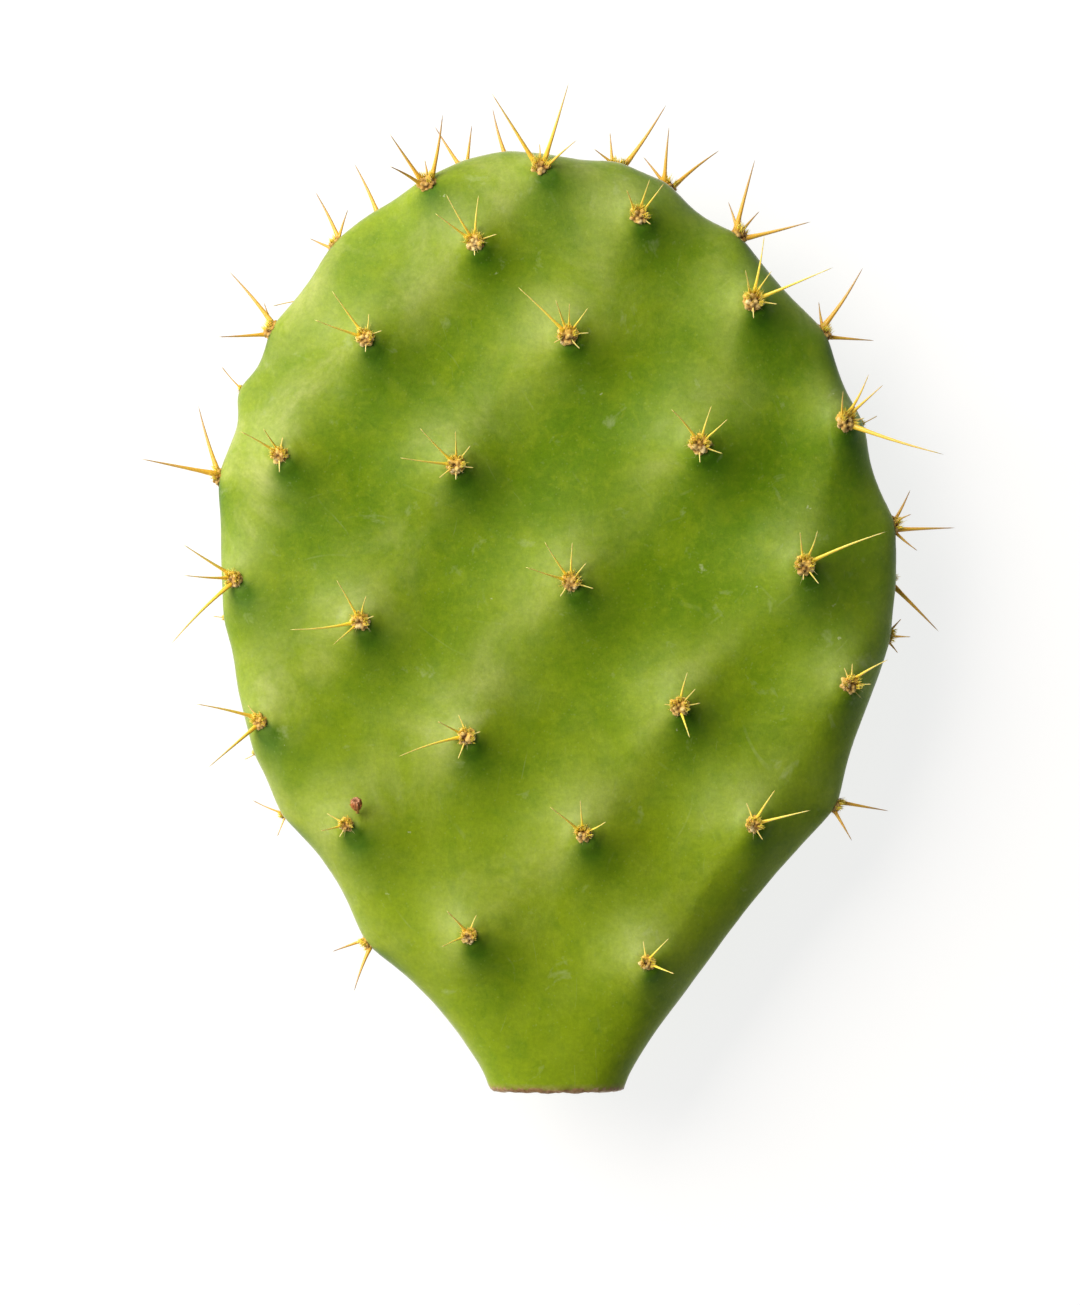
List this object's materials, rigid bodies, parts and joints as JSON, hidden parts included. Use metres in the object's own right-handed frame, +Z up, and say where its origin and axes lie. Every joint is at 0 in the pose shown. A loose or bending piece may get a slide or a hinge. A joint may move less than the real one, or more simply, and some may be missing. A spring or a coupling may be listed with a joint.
{
  "type": "prickly pear cactus pad",
  "caption": "Flat egg-shaped green cactus pad with mounded skin, woolly areoles, amber spines and a cut neck, lying on its back on its spine tips.",
  "frame": {"origin": "on the surface that the pad lies on, under the middle of the whole object's box", "axes": "+Y from the cut neck to the tip of the pad, +Z up out of its front face, +X across it"},
  "size_m": [0.1526, 0.189, 0.0385],
  "materials": {
    "cactus_skin": "matte waxy green skin, yellower on the upper left and darker on the flanks of the mounds",
    "spine": "smooth translucent amber spine, paler and greyer at its tip",
    "areole_wool": "tan and brown felt with golden bristles",
    "dried_bud": "dry wrinkled reddish brown"
  },
  "bodies": {
    "root": {"pad": "cactus_skin", "face_areole_01": "spine", "face_areole_02": "spine", "face_areole_03": "spine", "face_areole_04": "spine", "face_areole_05": "spine", "face_areole_06": "spine", "face_areole_07": "spine", "face_areole_08": "spine", "face_areole_09": "spine", "face_areole_10": "spine", "face_areole_11": "spine", "face_areole_12": "spine", "face_areole_13": "spine", "face_areole_14": "spine", "face_areole_15": "spine", "face_areole_16": "spine", "face_areole_17": "spine", "face_areole_18": "spine", "face_areole_19": "spine", "face_areole_20": "spine", "face_areole_21": "spine", "face_areole_22": "spine", "face_areole_23": "spine", "face_areole_24": "spine", "rim_areole_01": "spine", "rim_areole_02": "spine", "rim_areole_03": "spine", "rim_areole_04": "spine", "rim_areole_05": "spine", "rim_areole_06": "spine", "rim_areole_07": "spine", "rim_areole_08": "spine", "rim_areole_09": "spine", "rim_areole_10": "spine", "rim_areole_11": "spine", "rim_areole_12": "spine", "rim_areole_13": "spine", "rim_areole_14": "spine", "rim_areole_15": "spine", "rim_areole_16": "spine", "back_areole_01": "spine", "back_areole_02": "spine", "back_areole_03": "spine", "back_areole_04": "spine", "back_areole_05": "spine", "back_areole_06": "spine", "back_areole_07": "spine", "back_areole_08": "spine", "back_areole_09": "spine", "back_areole_10": "spine", "back_areole_11": "spine", "back_areole_12": "spine", "back_areole_13": "spine", "back_areole_14": "spine", "back_areole_15": "spine", "back_areole_16": "spine", "back_areole_17": "spine", "back_areole_18": "spine", "dried_bud": "dried_bud"}
  },
  "joints": []
}
